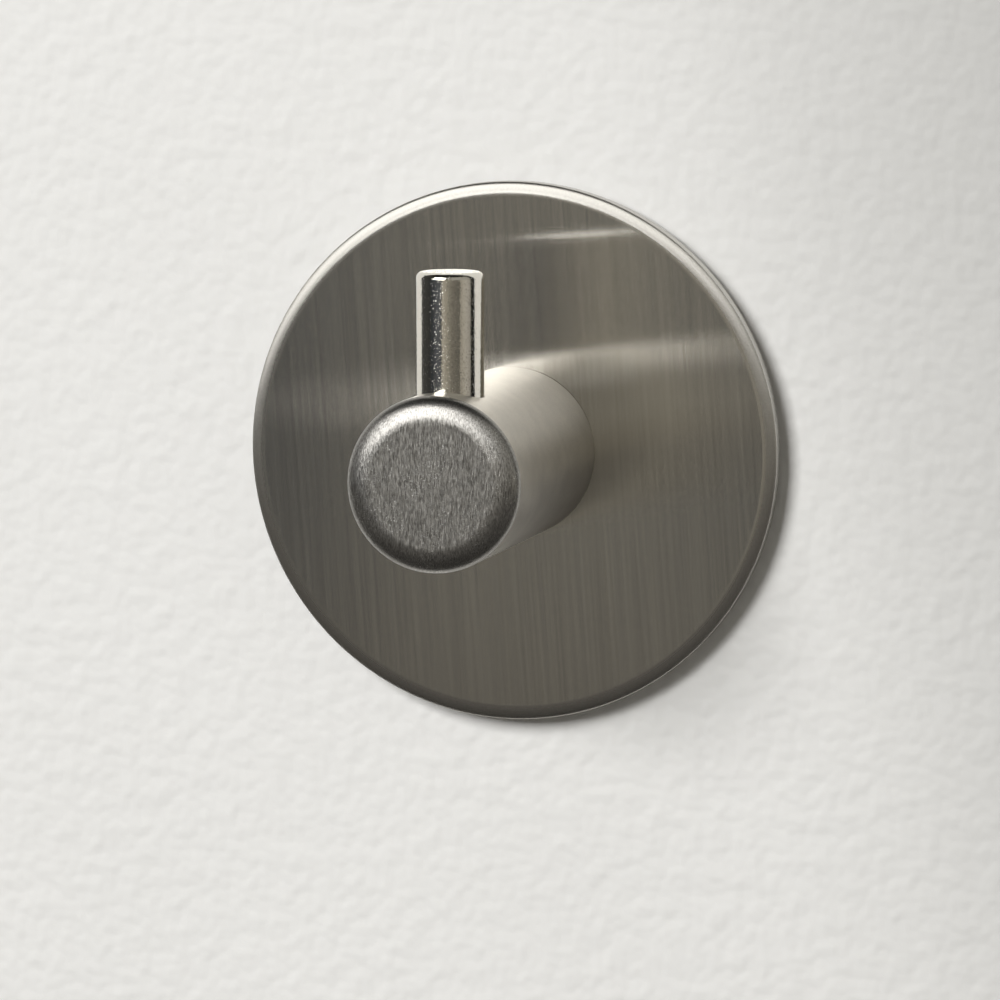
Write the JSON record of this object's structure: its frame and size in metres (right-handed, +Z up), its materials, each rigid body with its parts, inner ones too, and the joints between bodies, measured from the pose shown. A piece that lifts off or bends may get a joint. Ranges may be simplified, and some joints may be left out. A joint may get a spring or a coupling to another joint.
{
  "type": "wall hook",
  "caption": "Round brushed steel wall plate with a turned post and an upright polished pin that keeps a hung loop from sliding off.",
  "frame": {"origin": "middle of the adhesive pad's face on the wall", "axes": "+Y into the wall, so the hook stands out towards -Y; +Z up, along the pin; +X to the right as seen from the room"},
  "size_m": [0.05, 0.0325, 0.05],
  "materials": {
    "brushed_plate": "long straight brushing, up and down",
    "satin_post": "fine satin turning, brushed front face with small pits",
    "polished_pin": "bright polish with light pitting",
    "screw_steel": "plain machined",
    "pad_foam": "matt closed-cell foam"
  },
  "bodies": {
    "root": {"wall_plate": "brushed_plate", "post": "satin_post", "hook_pin": "polished_pin", "countersunk_screw": "screw_steel", "adhesive_pad": "pad_foam"}
  },
  "joints": []
}
